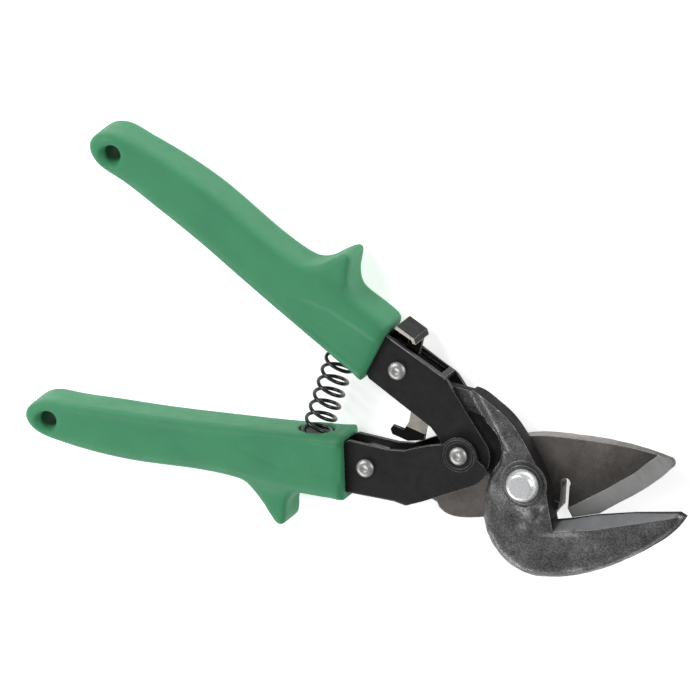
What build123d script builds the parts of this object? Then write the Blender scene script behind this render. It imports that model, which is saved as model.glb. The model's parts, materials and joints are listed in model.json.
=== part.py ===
"""Aviation snips of the compound-action, offset pattern, shown open and lying on their back.

Frame: millimetres, +Z along every pivot, towards the bolt head.  The main pivot stands at
X = Y = 0 and the nut's outer face lies at Z = 0, on the surface that the tool rests on.
+X points to the jaw tips.  The two handles, rivets and tangs mirror each other in the plane
Y = 0, and the two blades slide past each other on the shear plane, Z = SHEAR_Z.
"""
import os
from math import asin, cos, degrees, hypot, radians, sin, sqrt

from build123d import *

os.makedirs("parts", exist_ok=True)

UPPER = 1
LOWER = -1
FRONT = 1
BACK = -1

# Linkage: a kite of main pivot, two tang rivets and handle rivet.
TANG_LENGTH = 57.0
HANDLE_ARM = 35.0
TANG_ANGLE = 19.0
HANDLE_CLOSING = 28.0

# Stack of layers, as distances from the shear plane.
SHEAR_Z = 9.8
BLADE_GAP = 0.05
TANG_OUT = 3.6
BLADE_OUT = 6.5
BACK_BLADE_OUT = 5.6
BOSS_OUT = 7.0
SHEET_IN = 3.9
SHEET = 1.6
SHEET_OUT = SHEET_IN + SHEET
JOGGLE_IN = 5.7
JOGGLE_OUT = JOGGLE_IN + SHEET

# Pins and fits.
RUNNING = 0.05
OPEN_PIVOT = 0.3
TANG_PIN_R = 2.0
TANG_EYE_R = 6.2
HANDLE_PIN_R = 2.4
SPACER_R = 4.0
SLEEVE_R = 4.2
HANDLE_WASHER_R = 5.9
RIVET_HEAD_R = 3.1
RIVET_HEAD_H = 1.4
BOLT_R = 4.0
BOLT_HEAD_R = 5.6
BOLT_HEAD_H = 3.6
BOLT_WASHER_R = 6.9
BOLT_WASHER_H = 0.8
NUT_FLATS = 13.0

# Frames and grips.
NOSE_R = 10.4
JOGGLED_NOSE_R = 11.2
JOGGLED_BOSS_R = 6.3
BODY_ARC_R = 11.6
GRIP_HALF = SHEAR_Z
UPPER_HANG_HOLE = (-169.8, 50.0)
LOWER_HANG_HOLE = (-162.8, 48.2)
HANG_HOLE_R = 3.2

# Return spring, along Y between the two grips.
SPRING_X = -75.2
SPRING_R = 4.75
WIRE_R = 0.65
SPRING_TURNS = 8
UPPER_SEAT_Y = 19.0
LOWER_SEAT_Y = -19.4
SEAT_FLANGE = 1.0
SPRING_POCKET_R = 5.9
PEG_PLAY = 0.4
PEG_LENGTH = 3.0

# Latch.
LATCH_NEAR = -1.2
LATCH_FAR = -2.6
LATCH_TRAVEL = 3.0
LATCH_SLOPE = 0.228
LATCH_PLAY = 0.3
TAB_HALF = 6.3

TANG_PIN_X = -TANG_LENGTH * cos(radians(TANG_ANGLE))
TANG_PIN_Y = TANG_LENGTH * sin(radians(TANG_ANGLE))
HANDLE_PIN_X = TANG_PIN_X + sqrt(HANDLE_ARM**2 - TANG_PIN_Y**2)

# With the handles closed the handle rivet sits at CLOSED_PIN, seen from the front blade.
CLOSED_ARM = degrees(asin(TANG_PIN_Y / HANDLE_ARM)) - HANDLE_CLOSING / 2
CLOSED_TANG = degrees(asin(HANDLE_ARM * sin(radians(CLOSED_ARM)) / TANG_LENGTH))
CLOSED_LEAN = radians(TANG_ANGLE + CLOSED_ARM - CLOSED_TANG)
CLOSED_PIN = (TANG_PIN_X + HANDLE_ARM * cos(CLOSED_LEAN), TANG_PIN_Y - HANDLE_ARM * sin(CLOSED_LEAN))


def plane_at(height):
    """XY plane at a height above the shear plane."""
    return Plane.XY.offset(SHEAR_Z + height)


def sided(points, side):
    """The points of an upper outline, mirrored for the lower side."""
    return [(x, side * y) for x, y in points]


def save(part, label):
    """Label a finished piece and write its STEP file."""
    part.label = label
    export_step(part, f"parts/{label}.step")


# ---------------------------------------------------------------- blades

BODY_BACK = [(-20.6, 13.9), (-28.4, 21.2), (-27.4, 22.8)]
BODY_TOP = [
    (-27.4, 22.8),
    (-24.0, 22.9),
    (-19.5, 21.7),
    (-13.4, 19.6),
    (-6.5, 15.3),
    (0.0, 9.6),
    (6.3, 2.9),
    (9.4, -2.4),
    (13.2, -9.4),
]
FRONT_EDGE = [(13.2, -9.4), (17.6, -7.0), (25.5, -2.1), (37.7, 4.3), (52.6, 11.2)]
FRONT_BELLY = [
    (55.2, 10.8),
    (53.6, 5.8),
    (46.0, -5.6),
    (38.6, -13.8),
    (30.0, -21.3),
    (17.6, -28.6),
    (7.9, -30.8),
    (-1.2, -28.2),
    (-8.1, -22.2),
    (-12.0, -12.7),
    (-12.9, -4.5),
]
BELLY_ROUND = 2.4
TAPER_START_X = 28.0
TAPER_END_X = 57.0
TIP_OUT = 3.8

BACK_TOP = [
    (-12.2, 4.5),
    (-10.6, 9.2),
    (-6.0, 13.2),
    (8.4, 19.0),
    (21.8, 22.9),
    (33.0, 25.4),
    (42.6, 26.6),
]
BACK_TIP_ROUND = (44.7, 25.8)
BACK_EDGE = [
    (44.4, 23.4),
    (42.5, 19.6),
    (38.8, 14.0),
    (35.1, 9.2),
    (31.3, 4.8),
    (26.1, -1.6),
    (17.5, -7.0),
]
BACK_TAPER_START_X = 18.0
BACK_TAPER_END_X = 48.0
BACK_TIP_OUT = 2.2
BACK_BELLY = [
    (-27.4, -22.8),
    (-24.6, -24.0),
    (-20.5, -23.8),
    (-14.2, -21.3),
    (-8.0, -18.0),
    (-2.0, -14.4),
    (3.0, -12.4),
    (10.4, -12.0),
    (17.5, -7.0),
]
KEYHOLE = (11.7, 3.4)
KEYHOLE_R = 1.65
RELIEF_SLOT = (13.8, -5.05)
RELIEF_SLOT_TURN = -76
RELIEF_SLOT_LENGTH = 17.4
RELIEF_SLOT_W = 2.8
SLOT_FLARE = [(13.0, -4.2), (11.2, -8.6), (10.0, -13.5), (19.0, -13.5), (17.6, -6.9), (15.2, -4.6)]
HOLLOW_DEPTH = 0.3
HOLLOW_LAND = [(15.8, -4.0), (18.1, -1.3), (25.8, 7.5), (33.3, 17.0), (36.7, 22.8), (41.0, 29.0)]
HOLLOW_SPINE = [(20.0, 28.0), (5.0, 22.0), (-7.0, 15.0)]
HOLLOW_HUB = [(-4.5, 9.5), (-0.5, 8.3), (3.5, 4.6), (7.0, 0.4), (8.4, -4.0)]


def tang_face(side):
    """Closed outline of a thin tang, from its rivet eye into the blade body."""
    arc_x, arc_y = CLOSED_PIN[0], side * CLOSED_PIN[1]
    clear_r = SLEEVE_R + 1.5
    with BuildLine() as edge:
        Line((TANG_PIN_X, side * (TANG_PIN_Y + TANG_EYE_R)), (-36.5, side * 20.4))
        Line((-36.5, side * 20.4), (-27.0, side * 22.0))
        Line((-27.0, side * 22.0), (-5.0, side * 12.0))
        Line((-5.0, side * 12.0), (-5.0, side * -5.0))
        Line((-5.0, side * -5.0), (-12.9, side * -4.5))
        Line((-12.9, side * -4.5), (arc_x + clear_r, arc_y))
        CenterArc((arc_x, arc_y), clear_r, 0, side * 90)
        Line((arc_x, arc_y + side * clear_r), (-30.0, side * 9.3))
        Line((-30.0, side * 9.3), (TANG_PIN_X, side * (TANG_PIN_Y - TANG_EYE_R)))
        ThreePointArc(
            (TANG_PIN_X, side * (TANG_PIN_Y - TANG_EYE_R)),
            (TANG_PIN_X - TANG_EYE_R, side * TANG_PIN_Y),
            (TANG_PIN_X, side * (TANG_PIN_Y + TANG_EYE_R)),
        )
    return edge


def body_arc(side):
    """Hollow back of a blade body, round the frames' noses."""
    centre_x, centre_y = CLOSED_PIN[0], side * CLOSED_PIN[1]
    return [
        (centre_x + BODY_ARC_R, centre_y),
        (centre_x + BODY_ARC_R * cos(radians(42)), centre_y + side * BODY_ARC_R * sin(radians(42))),
        (BODY_BACK[0][0], side * BODY_BACK[0][1]),
    ]


def make_front_blade():
    """Lower jaw: deep forged body, ground bevel along its edge, thin tang to the upper rivet."""
    with BuildPart() as blade:
        with BuildSketch(plane_at(BLADE_GAP)):
            with BuildLine():
                Line(FRONT_EDGE[-1], FRONT_BELLY[0])
                Spline(*FRONT_BELLY)
                Line(FRONT_BELLY[-1], body_arc(UPPER)[0])
                ThreePointArc(*body_arc(UPPER))
                Polyline(*BODY_BACK)
                Spline(*BODY_TOP)
                Polyline(*FRONT_EDGE)
            make_face()
        extrude(amount=BLADE_OUT - BLADE_GAP)
        with BuildSketch(Plane.XZ.offset(-50)):
            with BuildLine():
                Polyline(
                    (TAPER_START_X, SHEAR_Z + BLADE_OUT),
                    (TAPER_END_X, SHEAR_Z + TIP_OUT),
                    (TAPER_END_X, SHEAR_Z + BLADE_OUT),
                    close=True,
                )
            make_face()
        extrude(amount=100, mode=Mode.SUBTRACT)
        upper_edges = blade.edges().filter_by(lambda e: (e @ 0.5).Z > SHEAR_Z + TIP_OUT)
        fillet(upper_edges.filter_by(lambda e: is_on_path(e, FRONT_BELLY)), radius=BELLY_ROUND)
        heel = FRONT_EDGE[0]
        tip = FRONT_EDGE[-1]
        run = hypot(tip[0] - heel[0], tip[1] - heel[1])
        along = ((tip[0] - heel[0]) / run, (tip[1] - heel[1]) / run)
        across_edge = Plane(
            origin=(heel[0], heel[1], SHEAR_Z),
            x_dir=(-along[1], along[0], 0),
            z_dir=(along[0], along[1], 0),
        )
        with BuildSketch(across_edge):
            with BuildLine():
                Polyline((1.3, 1.2), (-2.9, BLADE_OUT), (-2.9, 9.0), (6.0, 9.0), (6.0, 1.2), close=True)
            make_face()
        extrude(amount=run + 9, mode=Mode.SUBTRACT)
        with BuildSketch(plane_at(BLADE_OUT)):
            Circle(8.2)
        extrude(amount=BOSS_OUT - BLADE_OUT)
        with BuildSketch(plane_at(BLADE_GAP)):
            add(tang_face(UPPER))
            make_face()
        extrude(amount=TANG_OUT - BLADE_GAP)
        with BuildSketch(plane_at(0)):
            Circle(BOLT_R + RUNNING)
            with Locations((TANG_PIN_X, TANG_PIN_Y)):
                Circle(TANG_PIN_R + OPEN_PIVOT)
        extrude(amount=BOSS_OUT + 1, mode=Mode.SUBTRACT)
    save(blade.part, "front_blade")


def is_on_path(edge, path):
    """True when the edge's middle lies near a path of points, seen along Z."""
    middle = edge @ 0.5
    for (x1, y1), (x2, y2) in zip(path, path[1:]):
        span = hypot(x2 - x1, y2 - y1)
        along = ((middle.X - x1) * (x2 - x1) + (middle.Y - y1) * (y2 - y1)) / span
        across = abs((middle.X - x1) * (y2 - y1) - (middle.Y - y1) * (x2 - x1)) / span
        if -0.5 < along < span + 0.5 and across < 1.6:
            return True
    return False


def make_back_blade():
    """Upper jaw: flatter blade with a hollow-ground face, relief slot, keyhole and catch pocket."""
    with BuildPart() as blade:
        with BuildSketch(plane_at(-BACK_BLADE_OUT)):
            with BuildLine():
                Polyline(*BACK_EDGE)
                ThreePointArc(BACK_EDGE[0], BACK_TIP_ROUND, BACK_TOP[-1])
                Spline(*BACK_TOP)
                Line(BACK_TOP[0], body_arc(LOWER)[0])
                ThreePointArc(*body_arc(LOWER))
                Polyline(*sided(BODY_BACK, LOWER))
                Spline(*BACK_BELLY)
            make_face()
        extrude(amount=BACK_BLADE_OUT - BLADE_GAP)
        with BuildSketch(Plane.XZ.offset(-50)):
            with BuildLine():
                Polyline(
                    (BACK_TAPER_START_X, SHEAR_Z - BACK_BLADE_OUT),
                    (BACK_TAPER_END_X, SHEAR_Z - BACK_TIP_OUT),
                    (BACK_TAPER_END_X, SHEAR_Z - BACK_BLADE_OUT),
                    close=True,
                )
            make_face()
        extrude(amount=100, mode=Mode.SUBTRACT)
        with BuildSketch(plane_at(-TANG_OUT)):
            add(tang_face(LOWER))
            make_face()
        extrude(amount=TANG_OUT - BLADE_GAP)
        with BuildSketch(plane_at(0)):
            Circle(BOLT_R)
            with Locations((TANG_PIN_X, -TANG_PIN_Y)):
                Circle(TANG_PIN_R + RUNNING)
            with Locations(KEYHOLE):
                Circle(KEYHOLE_R)
            with Locations(Location(RELIEF_SLOT, RELIEF_SLOT_TURN)):
                Rectangle(RELIEF_SLOT_LENGTH, RELIEF_SLOT_W)
            with BuildLine():
                Polyline(*SLOT_FLARE, close=True)
            make_face()
            with BuildLine():
                Polyline(*CATCH_POCKET, close=True)
            make_face()
        extrude(amount=-BOSS_OUT, mode=Mode.SUBTRACT)
        with BuildSketch(plane_at(0)):
            with BuildLine():
                Polyline(*HOLLOW_LAND, *HOLLOW_SPINE, *HOLLOW_HUB, close=True)
            make_face()
        extrude(amount=-BLADE_GAP - HOLLOW_DEPTH, mode=Mode.SUBTRACT)
    save(blade.part, "rear_blade")


# ---------------------------------------------------------------- frames

ARM_OUTER = [(-104.0, 37.0), (-150.0, 50.0)]
ARM_INNER = [(-150.0, 41.0), (-110.0, 30.5), (-80.0, 21.6), (-70.0, 20.2)]
UPPER_OUTER = [(-37.5, 23.2), (-59.4, 28.2)] + ARM_OUTER
UPPER_INNER = ARM_INNER + [(-62.5, 11.8), (-46.6, 7.3), (-36.8, 4.6), (-32.2, 1.6)]
LOWER_OUTER = [(-36.2, 24.4), (-59.4, 29.9)] + ARM_OUTER
LOWER_INNER = ARM_INNER + [(-62.5, 11.9), (-48.4, 9.2), (-43.1, 7.2), (-36.2, 1.7)]
LOWER_CHIN = (-31.2, 20.6)
RAMP_START_X = -41.0
RAMP_END_X = -36.5
WEB_SLOT_X = -50.5
WEB_SLOT = (22.0, 7.4)


def about_pin(radius, angle):
    """Point at a radius and angle from the handle rivet."""
    return (HANDLE_PIN_X + radius * cos(radians(angle)), radius * sin(radians(angle)))


def upper_outline():
    """Side view of the upper handle frame: arm, ear and round nose about the handle rivet."""
    with BuildLine() as edge:
        Polyline(*UPPER_OUTER, *UPPER_INNER, about_pin(NOSE_R, -120))
        ThreePointArc(about_pin(NOSE_R, -120), about_pin(NOSE_R, -40), about_pin(NOSE_R, 38))
        Line(about_pin(NOSE_R, 38), UPPER_OUTER[0])
    return edge


def lower_outline():
    """Side view of the lower handle frame: a round boss about the handle rivet, and a lug ahead of it."""
    lug_corner = (HANDLE_PIN_X + JOGGLED_NOSE_R - 0.5, -0.9)
    boss_end = about_pin(JOGGLED_BOSS_R, 12)
    lug_start = (HANDLE_PIN_X + JOGGLED_NOSE_R - 2.0, 0.2)
    with BuildLine() as edge:
        Polyline(*sided(LOWER_OUTER + LOWER_INNER, LOWER), about_pin(JOGGLED_BOSS_R, 165))
        ThreePointArc(about_pin(JOGGLED_BOSS_R, 165), about_pin(JOGGLED_BOSS_R, 90), boss_end)
        Line(boss_end, lug_start)
        ThreePointArc(lug_start, lug_corner, about_pin(JOGGLED_NOSE_R, -15))
        ThreePointArc(
            about_pin(JOGGLED_NOSE_R, -15),
            about_pin(JOGGLED_NOSE_R, -35),
            about_pin(JOGGLED_NOSE_R, -55),
        )
        Polyline(about_pin(JOGGLED_NOSE_R, -55), *sided([LOWER_CHIN, LOWER_OUTER[0]], LOWER))
    return edge


def sheet_path(shift):
    """Section of one ear, as X and distance from the shear plane, stepped out near the nose."""
    return [
        (-160, SHEET_IN),
        (RAMP_START_X, SHEET_IN),
        (RAMP_END_X, SHEET_IN + shift),
        (0, SHEET_IN + shift),
        (0, SHEET_OUT + shift),
        (RAMP_END_X, SHEET_OUT + shift),
        (RAMP_START_X, SHEET_OUT),
        (-160, SHEET_OUT),
    ]


def make_frame(side, label):
    """Folded channel: two ears joined by a web along the outer edge."""
    shift = 0.0 if side == UPPER else JOGGLE_IN - SHEET_IN
    outer_line = UPPER_OUTER if side == UPPER else LOWER_OUTER
    with BuildPart() as frame:
        with BuildSketch(Plane.XZ.offset(-100)):
            for up in (FRONT, BACK):
                with BuildLine():
                    Polyline(*[(x, SHEAR_Z + up * out) for x, out in sheet_path(shift)], close=True)
                make_face()
        extrude(amount=200)
        with BuildSketch(plane_at(-JOGGLE_OUT)):
            add(upper_outline() if side == UPPER else lower_outline())
            make_face()
        extrude(amount=2 * JOGGLE_OUT, mode=Mode.INTERSECT)
        with BuildSketch(plane_at(-SHEET_OUT)):
            with BuildLine():
                inner_line = [(x, y - SHEET) for x, y in outer_line]
                Polyline(*sided(outer_line + inner_line[::-1], side), close=True)
            make_face()
        extrude(amount=2 * SHEET_OUT)
        if side == UPPER:
            with BuildSketch(Plane.XZ.offset(-40)):
                with Locations((WEB_SLOT_X, SHEAR_Z)):
                    Rectangle(*WEB_SLOT)
            extrude(amount=20, mode=Mode.SUBTRACT)
        handle_hole_r = HANDLE_PIN_R + (RUNNING if side == UPPER else 0)
        with BuildSketch(plane_at(-JOGGLE_OUT)):
            with Locations((TANG_PIN_X, side * TANG_PIN_Y)):
                Circle(TANG_PIN_R)
            with Locations((HANDLE_PIN_X, 0)):
                Circle(handle_hole_r)
        extrude(amount=2 * JOGGLE_OUT, mode=Mode.SUBTRACT)
    save(frame.part, label)


# ---------------------------------------------------------------- latch

PLATE = [(-63.4, 15.4), (-63.4, 26.4), (-39.0, 21.0), (-39.9, 0.6), (-39.4, -3.6), (-44.6, -6.2)]
HOOK = [(-50.4, -6.2), (-51.6, -4.8), (-51.2, -3.1), (-47.1, -2.9), (-46.3, 0.4), (-47.4, 9.4), (-50.5, 13.4)]
TAB_STEM = [(-55.0, 23.8), (-55.4, 32.2), (-51.4, 31.2), (-50.6, 30.2), (-50.0, 22.4)]
TAB = [(-59.0, 32.4), (-58.7, 33.6), (-51.6, 31.9), (-50.4, 30.2), (-51.6, 30.2), (-52.3, 31.0)]
CATCH_POCKET = [
    (-50.2, -4.0),
    (-50.2, -18.6),
    (-46.0, -19.8),
    (-37.0, -18.6),
    (-31.2, -12.2),
    (-30.6, -4.0),
]


def make_latch():
    """Slotted plate with a hook at its foot and a broad thumb tab on top."""
    slot_end = (TANG_PIN_X - LATCH_TRAVEL, TANG_PIN_Y + LATCH_TRAVEL * LATCH_SLOPE)
    slot_middle = ((TANG_PIN_X + slot_end[0]) / 2, (TANG_PIN_Y + slot_end[1]) / 2)
    slot_turn = -degrees(asin(LATCH_SLOPE))
    with BuildPart() as latch:
        with BuildSketch(plane_at(LATCH_FAR)):
            with BuildLine():
                Polyline(*PLATE, *HOOK, close=True)
            make_face()
            with BuildLine():
                Polyline(*TAB_STEM, close=True)
            make_face()
            with Locations(slot_end, (TANG_PIN_X, TANG_PIN_Y)):
                Circle(SPACER_R + LATCH_PLAY, mode=Mode.SUBTRACT)
            with Locations(Location(slot_middle, slot_turn)):
                Rectangle(LATCH_TRAVEL, 2 * (SPACER_R + LATCH_PLAY), mode=Mode.SUBTRACT)
        extrude(amount=LATCH_NEAR - LATCH_FAR)
        with BuildSketch(plane_at(-TAB_HALF)):
            with BuildLine():
                Polyline(*TAB, close=True)
            make_face()
        extrude(amount=2 * TAB_HALF)
    save(latch.part, "latch")


def make_leaf_spring():
    """Arched strip between the far wall and the latch plate."""
    far = SHEAR_Z - SHEET_IN + 0.02
    near = SHEAR_Z + LATCH_FAR - 0.02
    with BuildPart() as leaf:
        with BuildSketch(Plane.XZ.offset(-6)):
            with BuildLine():
                ThreePointArc((-47.0, far), (-43.0, near), (-39.5, far))
                Line((-39.5, far), (-40.1, far))
                ThreePointArc((-40.1, far), (-43.0, near - 0.35), (-46.4, far))
                Line((-46.4, far), (-47.0, far))
            make_face()
        extrude(amount=-6)
    save(leaf.part, "latch_leaf_spring")


# ---------------------------------------------------------------- pins

def make_rivet(label, x, y, pin_r, reach):
    """Solid rivet with a low domed head at both ends."""
    rim = reach + 0.5
    shoulder = reach + 0.75 * RIVET_HEAD_H
    crown = reach + RIVET_HEAD_H
    with BuildPart() as rivet:
        with BuildSketch(Plane.XZ.offset(-y)):
            with BuildLine():
                Line((x, SHEAR_Z - crown), (x, SHEAR_Z + crown))
                for up in (FRONT, BACK):
                    ThreePointArc(
                        (x, SHEAR_Z + up * crown),
                        (x + 0.72 * RIVET_HEAD_R, SHEAR_Z + up * shoulder),
                        (x + RIVET_HEAD_R, SHEAR_Z + up * rim),
                    )
                    Polyline(
                        (x + RIVET_HEAD_R, SHEAR_Z + up * rim),
                        (x + RIVET_HEAD_R, SHEAR_Z + up * reach),
                        (x + pin_r, SHEAR_Z + up * reach),
                        (x + pin_r, SHEAR_Z),
                    )
            make_face()
        revolve(axis=Axis((x, y, 0), (0, 0, 1)))
    save(rivet.part, label)


def make_ring(label, x, y, low, high, outer_r, inner_r):
    """Plain ring or washer about a vertical axis."""
    with BuildPart() as ring:
        with BuildSketch(plane_at(low)):
            with Locations((x, y)):
                Circle(outer_r)
                Circle(inner_r, mode=Mode.SUBTRACT)
        extrude(amount=high - low)
    save(ring.part, label)


def make_bolt():
    """Main pivot bolt: shank, and a domed head with a small flat."""
    base = BOSS_OUT + RUNNING + BOLT_WASHER_H
    with BuildPart() as bolt:
        with BuildSketch(plane_at(-SHEAR_Z)):
            Circle(BOLT_R)
        extrude(amount=SHEAR_Z + base)
        with BuildSketch(plane_at(base)):
            Circle(BOLT_HEAD_R)
        extrude(amount=BOLT_HEAD_H)
        crown = bolt.edges().group_by(Axis.Z)[-1]
        fillet(crown, radius=1.9)
    save(bolt.part, "pivot_bolt")


def make_nut():
    """Thin lock nut whose outer face is the tool's resting pad."""
    low = -SHEAR_Z
    high = -BACK_BLADE_OUT - BOLT_WASHER_H
    with BuildPart() as nut:
        with BuildSketch(plane_at(low)):
            RegularPolygon(NUT_FLATS / 2, 6, major_radius=False)
        extrude(amount=high - low)
        with BuildSketch(plane_at(low)):
            Circle(BOLT_R)
        extrude(amount=high - low, mode=Mode.SUBTRACT)
        rim = nut.faces().sort_by(Axis.Z)[0].outer_wire().edges()
        chamfer(rim, length=0.5)
    save(nut.part, "pivot_nut")


# ---------------------------------------------------------------- grips and spring

UPPER_GRIP = [
    (-64.0, 10.4),
    (-88.0, 18.1),
    (-112.0, 26.0),
    (-136.0, 34.1),
    (-153.0, 39.0),
    (-167.0, 42.6),
    (-176.0, 45.6),
    (-178.9, 51.0),
    (-175.2, 55.6),
    (-166.0, 56.6),
    (-153.0, 55.2),
    (-131.0, 50.6),
    (-114.0, 44.8),
    (-100.0, 41.0),
    (-86.0, 38.8),
    (-73.0, 36.2),
    (-60.6, 32.6),
]
LOWER_GRIP = [
    (-64.5, 10.6),
    (-88.0, 19.0),
    (-110.0, 26.2),
    (-132.0, 33.0),
    (-147.0, 37.2),
    (-160.0, 40.8),
    (-168.6, 43.9),
    (-171.6, 49.2),
    (-167.8, 53.6),
    (-159.0, 54.6),
    (-147.0, 53.2),
    (-128.0, 49.2),
    (-112.0, 44.3),
    (-97.0, 40.6),
    (-83.0, 38.2),
    (-70.0, 35.6),
    (-56.8, 31.9),
]
UPPER_HORN_REAR = [(-101.0, 39.0), (-97.5, 40.0), (-90.6, 42.7), (-86.5, 47.1), (-83.8, 49.8)]
UPPER_HORN_TIP = (-82.0, 50.6)
UPPER_HORN_FRONT = [(-80.4, 48.8), (-80.0, 43.6), (-78.6, 40.0), (-76.2, 37.2), (-72.5, 34.4)]
LOWER_HORN_REAR = [(-97.0, 38.2), (-91.0, 40.6), (-85.9, 43.4), (-80.8, 47.1), (-77.9, 49.4)]
LOWER_HORN_TIP = (-76.0, 50.1)
LOWER_HORN_FRONT = [(-74.1, 48.9), (-74.4, 46.0), (-75.7, 41.8), (-74.9, 38.4), (-71.6, 35.0)]
HORN_HALF = 7.6
GRIP_EDGE_R = 2.8
CORE_FRONT = [(-62.5, 11.8), (-37.5, 11.8)]


def grip_core(side):
    """Side view of the arm that a grip is moulded round."""
    outer_line = UPPER_OUTER if side == UPPER else LOWER_OUTER
    with BuildLine() as edge:
        Polyline(*sided(outer_line + ARM_INNER + CORE_FRONT, side), close=True)
    return edge


def make_grip(side, label):
    """Moulded sleeve on a frame's arm, with a finger horn, hang hole and spring pocket."""
    outline = sided(UPPER_GRIP if side == UPPER else LOWER_GRIP, side)
    horn_rear = sided(UPPER_HORN_REAR if side == UPPER else LOWER_HORN_REAR, side)
    horn_tip = sided([UPPER_HORN_TIP if side == UPPER else LOWER_HORN_TIP], side)[0]
    horn_front = sided(UPPER_HORN_FRONT if side == UPPER else LOWER_HORN_FRONT, side)
    hang_hole = sided([UPPER_HANG_HOLE if side == UPPER else LOWER_HANG_HOLE], side)[0]
    pocket_floor = UPPER_SEAT_Y + SEAT_FLANGE if side == UPPER else LOWER_SEAT_Y - SEAT_FLANGE
    with BuildPart() as grip:
        with BuildSketch(plane_at(-GRIP_HALF)):
            with BuildLine():
                Spline(*outline)
                Line(outline[-1], outline[0])
            make_face()
        extrude(amount=2 * GRIP_HALF)
        by_height = grip.edges().group_by(Axis.Z)
        fillet(by_height[0] + by_height[-1], radius=GRIP_EDGE_R)
        with BuildSketch(plane_at(-HORN_HALF)):
            with BuildLine():
                Spline(*horn_rear)
                ThreePointArc(horn_rear[-1], horn_tip, horn_front[0])
                Spline(*horn_front)
                Line(horn_front[-1], horn_rear[0])
            make_face()
        extrude(amount=2 * HORN_HALF)
        with BuildSketch(plane_at(-SHEET_OUT)):
            add(grip_core(side))
            make_face()
        extrude(amount=2 * SHEET_OUT, mode=Mode.SUBTRACT)
        with BuildSketch(Plane.XZ):
            with Locations((SPRING_X, SHEAR_Z)):
                Circle(SPRING_POCKET_R)
        extrude(amount=-pocket_floor, mode=Mode.SUBTRACT)
        with BuildSketch(plane_at(-GRIP_HALF)):
            with Locations(hang_hole):
                Circle(HANG_HOLE_R)
        extrude(amount=2 * GRIP_HALF, mode=Mode.SUBTRACT)
    save(grip.part, label)


def make_spring_peg(side, label):
    """Flanged peg that centres the return spring in a grip's pocket."""
    seat = UPPER_SEAT_Y if side == UPPER else LOWER_SEAT_Y
    with BuildPart() as peg:
        with BuildSketch(Plane.XZ.offset(-seat - side * SEAT_FLANGE)):
            with Locations((SPRING_X, SHEAR_Z)):
                Circle(SPRING_POCKET_R)
        extrude(amount=side * SEAT_FLANGE)
        with BuildSketch(Plane.XZ.offset(-seat)):
            with Locations((SPRING_X, SHEAR_Z)):
                Circle(SPRING_R - WIRE_R - PEG_PLAY)
        extrude(amount=side * PEG_LENGTH)
    save(peg.part, label)


def make_spring():
    """Round-wire compression coil between the two pegs."""
    start = LOWER_SEAT_Y + WIRE_R + RUNNING
    length = UPPER_SEAT_Y - WIRE_R - RUNNING - start
    with BuildPart() as coil:
        with BuildLine() as wire:
            Helix(
                pitch=length / SPRING_TURNS,
                height=length,
                radius=SPRING_R,
                center=(SPRING_X, start, SHEAR_Z),
                direction=(0, 1, 0),
            )
        with BuildSketch(Plane(origin=wire.line @ 0, z_dir=wire.line % 0)):
            Circle(WIRE_R)
        sweep()
    save(coil.part, "return_spring")


def make_all():
    """Write every piece."""
    make_front_blade()
    make_back_blade()
    make_frame(UPPER, "upper_frame")
    make_frame(LOWER, "lower_frame")
    make_latch()
    make_leaf_spring()
    make_rivet("handle_rivet", HANDLE_PIN_X, 0, HANDLE_PIN_R, JOGGLE_OUT)
    make_rivet("upper_tang_rivet", TANG_PIN_X, TANG_PIN_Y, TANG_PIN_R, SHEET_OUT)
    make_rivet("lower_tang_rivet", TANG_PIN_X, -TANG_PIN_Y, TANG_PIN_R, SHEET_OUT)
    make_ring("handle_rivet_sleeve", HANDLE_PIN_X, 0, -SHEET_IN + 0.02, SHEET_IN - 0.02, SLEEVE_R, HANDLE_PIN_R)
    make_ring("handle_washer_front", HANDLE_PIN_X, 0, SHEET_OUT + 0.02, JOGGLE_IN, HANDLE_WASHER_R, HANDLE_PIN_R)
    make_ring("handle_washer_back", HANDLE_PIN_X, 0, -JOGGLE_IN, -SHEET_OUT - 0.02, HANDLE_WASHER_R, HANDLE_PIN_R)
    make_ring("upper_tang_spacer", TANG_PIN_X, TANG_PIN_Y, -SHEET_IN, 0, SPACER_R, TANG_PIN_R)
    make_ring("lower_tang_spacer", TANG_PIN_X, -TANG_PIN_Y, 0, SHEET_IN, SPACER_R, TANG_PIN_R)
    make_bolt()
    make_ring("bolt_washer", 0, 0, BOSS_OUT + RUNNING, BOSS_OUT + RUNNING + BOLT_WASHER_H, BOLT_WASHER_R, BOLT_R)
    make_ring("nut_washer", 0, 0, -BACK_BLADE_OUT - BOLT_WASHER_H, -BACK_BLADE_OUT, 7.6, BOLT_R)
    make_nut()
    make_grip(UPPER, "upper_grip")
    make_grip(LOWER, "lower_grip")
    make_spring_peg(UPPER, "upper_spring_peg")
    make_spring_peg(LOWER, "lower_spring_peg")
    make_spring()


make_all()
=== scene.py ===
import json
from math import cos, pi, radians, sin, sqrt

import bmesh
import bpy
import numpy as np
from mathutils import Matrix, Vector, noise


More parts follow.
